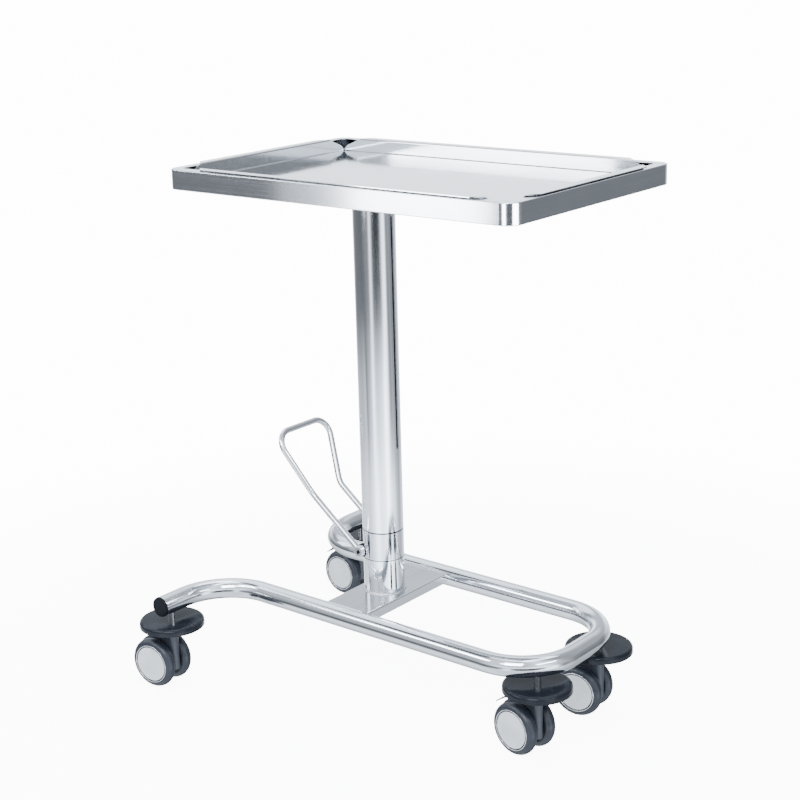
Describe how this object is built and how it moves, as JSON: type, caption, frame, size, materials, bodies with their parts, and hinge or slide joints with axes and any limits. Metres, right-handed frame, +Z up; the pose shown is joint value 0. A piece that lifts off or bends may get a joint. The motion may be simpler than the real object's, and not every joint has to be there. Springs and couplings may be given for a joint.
{
  "type": "instrument cart",
  "caption": "Hydraulic instrument cart: a rectangular lift-out steel tray on a foot-pumped column, with a bent tube base and twin-wheel casters.",
  "frame": {"origin": "on the floor, under the middle of the cart's bounding box", "axes": "+Z up; +X along the long side of the tray towards the narrow closed end of the base; +Y across, away from the near long side"},
  "size_m": [0.6863, 0.5332, 0.7859],
  "materials": {
    "polished_steel": "polished stainless steel",
    "brushed_steel": "brushed stainless steel",
    "pan_steel": "smooth satin stainless sheet",
    "plain_steel": "machined steel",
    "chromed_steel": "bright chrome",
    "zinc_iron": "machined casting",
    "caster_nylon": "dark grey moulded nylon, satin",
    "bumper_rubber": "dark grey, glossy moulded",
    "tread": "dark grey polyurethane tread",
    "cover_plastic": "light grey moulded",
    "black_plastic": "black moulded",
    "natural_nylon": "natural nylon"
  },
  "bodies": {
    "base": {"base_tube": "polished_steel", "end_caps": "black_plastic", "cross_plate": "polished_steel", "column_stub": "polished_steel", "stem_sockets": "plain_steel", "caster_stems": "chromed_steel", "bumpers_left": "bumper_rubber", "bumpers_right": "bumper_rubber", "pump_housing": "polished_steel", "shaft_bushes": "black_plastic", "hydraulic_cylinder": "plain_steel", "cylinder_gland": "zinc_iron", "guide_tube": "plain_steel", "upper_guide_bush": "natural_nylon", "guide_key": "plain_steel", "plunger_spring": "plain_steel"},
    "lift": {"column_shroud": "polished_steel", "lower_guide_bush": "natural_nylon", "stop_pad": "plain_steel", "stop_rivets": "chromed_steel", "column_head": "zinc_iron", "support_plate": "brushed_steel", "support_bars": "brushed_steel", "head_screws": "chromed_steel", "tray_frame": "brushed_steel", "piston": "zinc_iron", "piston_seal": "black_plastic", "piston_rod": "chromed_steel"},
    "pan": {"tray_pan": "pan_steel"},
    "pedal": {"pedal_lever": "polished_steel", "pedal_shaft": "plain_steel", "pump_cam": "plain_steel"},
    "plunger": {"pump_plunger": "plain_steel"},
    "swivel_front_left": {"yoke_front_left": "caster_nylon", "axle_front_left": "plain_steel"},
    "wheel_front_left_near": {"wheel_front_left_near": "tread", "cover_front_left_near": "cover_plastic"},
    "wheel_front_left_far": {"wheel_front_left_far": "tread", "cover_front_left_far": "cover_plastic"},
    "swivel_back_left": {"yoke_back_left": "caster_nylon", "axle_back_left": "plain_steel"},
    "wheel_back_left_near": {"wheel_back_left_near": "tread", "cover_back_left_near": "cover_plastic"},
    "wheel_back_left_far": {"wheel_back_left_far": "tread", "cover_back_left_far": "cover_plastic"},
    "brake_back_left": {"brake_lever_back_left": "caster_nylon"},
    "swivel_front_right": {"yoke_front_right": "caster_nylon", "axle_front_right": "plain_steel"},
    "wheel_front_right_near": {"wheel_front_right_near": "tread", "cover_front_right_near": "cover_plastic"},
    "wheel_front_right_far": {"wheel_front_right_far": "tread", "cover_front_right_far": "cover_plastic"},
    "brake_front_right": {"brake_lever_front_right": "caster_nylon"},
    "swivel_back_right": {"yoke_back_right": "caster_nylon", "axle_back_right": "plain_steel"},
    "wheel_back_right_near": {"wheel_back_right_near": "tread", "cover_back_right_near": "cover_plastic"},
    "wheel_back_right_far": {"wheel_back_right_far": "tread", "cover_back_right_far": "cover_plastic"}
  },
  "joints": [
    {"name": "column_lift", "type": "slide", "parent": "base", "child": "lift", "axis": [0, 0, 1], "range_m": [0, 0.29]},
    {"name": "tray_lift_out", "type": "slide", "parent": "lift", "child": "pan", "axis": [0, 0, 1], "range_m": [0, 0.06]},
    {"name": "pedal_swing", "type": "hinge", "parent": "base", "child": "pedal", "pos_m": [-0.0594, 0, 0.2052], "axis": [0, -1, 0], "range_deg": [0, 28], "stiffness_Nm_per_rad": 15, "springref_deg": -5.73},
    {"name": "plunger_stroke", "type": "slide", "parent": "base", "child": "plunger", "axis": [0, 0, 1], "range_m": [-0.0002, 0.011], "deforming": ["plunger_spring"]},
    {"name": "swivel_front_left", "type": "hinge", "parent": "base", "child": "swivel_front_left", "pos_m": [-0.2761, -0.218, 0.097], "axis": [0, 0, 1], "continuous": true},
    {"name": "spin_front_left_near", "type": "hinge", "parent": "swivel_front_left", "child": "wheel_front_left_near", "pos_m": [-0.30039, -0.2203, 0.038], "axis": [-0.0941, 0.9956, 0], "continuous": true},
    {"name": "spin_front_left_far", "type": "hinge", "parent": "swivel_front_left", "child": "wheel_front_left_far", "pos_m": [-0.30039, -0.2203, 0.038], "axis": [-0.0941, 0.9956, 0], "continuous": true},
    {"name": "swivel_back_left", "type": "hinge", "parent": "base", "child": "swivel_back_left", "pos_m": [-0.2761, 0.218, 0.097], "axis": [0, 0, 1], "continuous": true},
    {"name": "spin_back_left_near", "type": "hinge", "parent": "swivel_back_left", "child": "wheel_back_left_near", "pos_m": [-0.30046, 0.21945, 0.038], "axis": [0.0593, 0.9982, 0], "continuous": true},
    {"name": "spin_back_left_far", "type": "hinge", "parent": "swivel_back_left", "child": "wheel_back_left_far", "pos_m": [-0.30046, 0.21945, 0.038], "axis": [0.0593, 0.9982, 0], "continuous": true},
    {"name": "brake_press_back_left", "type": "hinge", "parent": "swivel_back_left", "child": "brake_back_left", "pos_m": [-0.31304, 0.22019, 0.071], "axis": [-0.0593, -0.9982, 0], "range_deg": [0, 12]},
    {"name": "swivel_front_right", "type": "hinge", "parent": "base", "child": "swivel_front_right", "pos_m": [0.29106, -0.07742, 0.097], "axis": [0, 0, 1], "continuous": true},
    {"name": "spin_front_right_near", "type": "hinge", "parent": "swivel_front_right", "child": "wheel_front_right_near", "pos_m": [0.26695, -0.07369, 0.038], "axis": [0.153, 0.9882, 0], "continuous": true},
    {"name": "spin_front_right_far", "type": "hinge", "parent": "swivel_front_right", "child": "wheel_front_right_far", "pos_m": [0.26695, -0.07369, 0.038], "axis": [0.153, 0.9882, 0], "continuous": true},
    {"name": "brake_press_front_right", "type": "hinge", "parent": "swivel_front_right", "child": "brake_front_right", "pos_m": [0.25449, -0.07176, 0.071], "axis": [-0.153, -0.9882, 0], "range_deg": [0, 12]},
    {"name": "swivel_back_right", "type": "hinge", "parent": "base", "child": "swivel_back_right", "pos_m": [0.29106, 0.07742, 0.097], "axis": [0, 0, 1], "continuous": true},
    {"name": "spin_back_right_near", "type": "hinge", "parent": "swivel_back_right", "child": "wheel_back_right_near", "pos_m": [0.26684, 0.07444, 0.038], "axis": [-0.1219, 0.9925, 0], "continuous": true},
    {"name": "spin_back_right_far", "type": "hinge", "parent": "swivel_back_right", "child": "wheel_back_right_far", "pos_m": [0.26684, 0.07444, 0.038], "axis": [-0.1219, 0.9925, 0], "continuous": true}
  ],
  "couplings": [
    {"joint": "plunger_stroke", "follows": "pedal_swing", "m_per_rad": 0.0213}
  ]
}
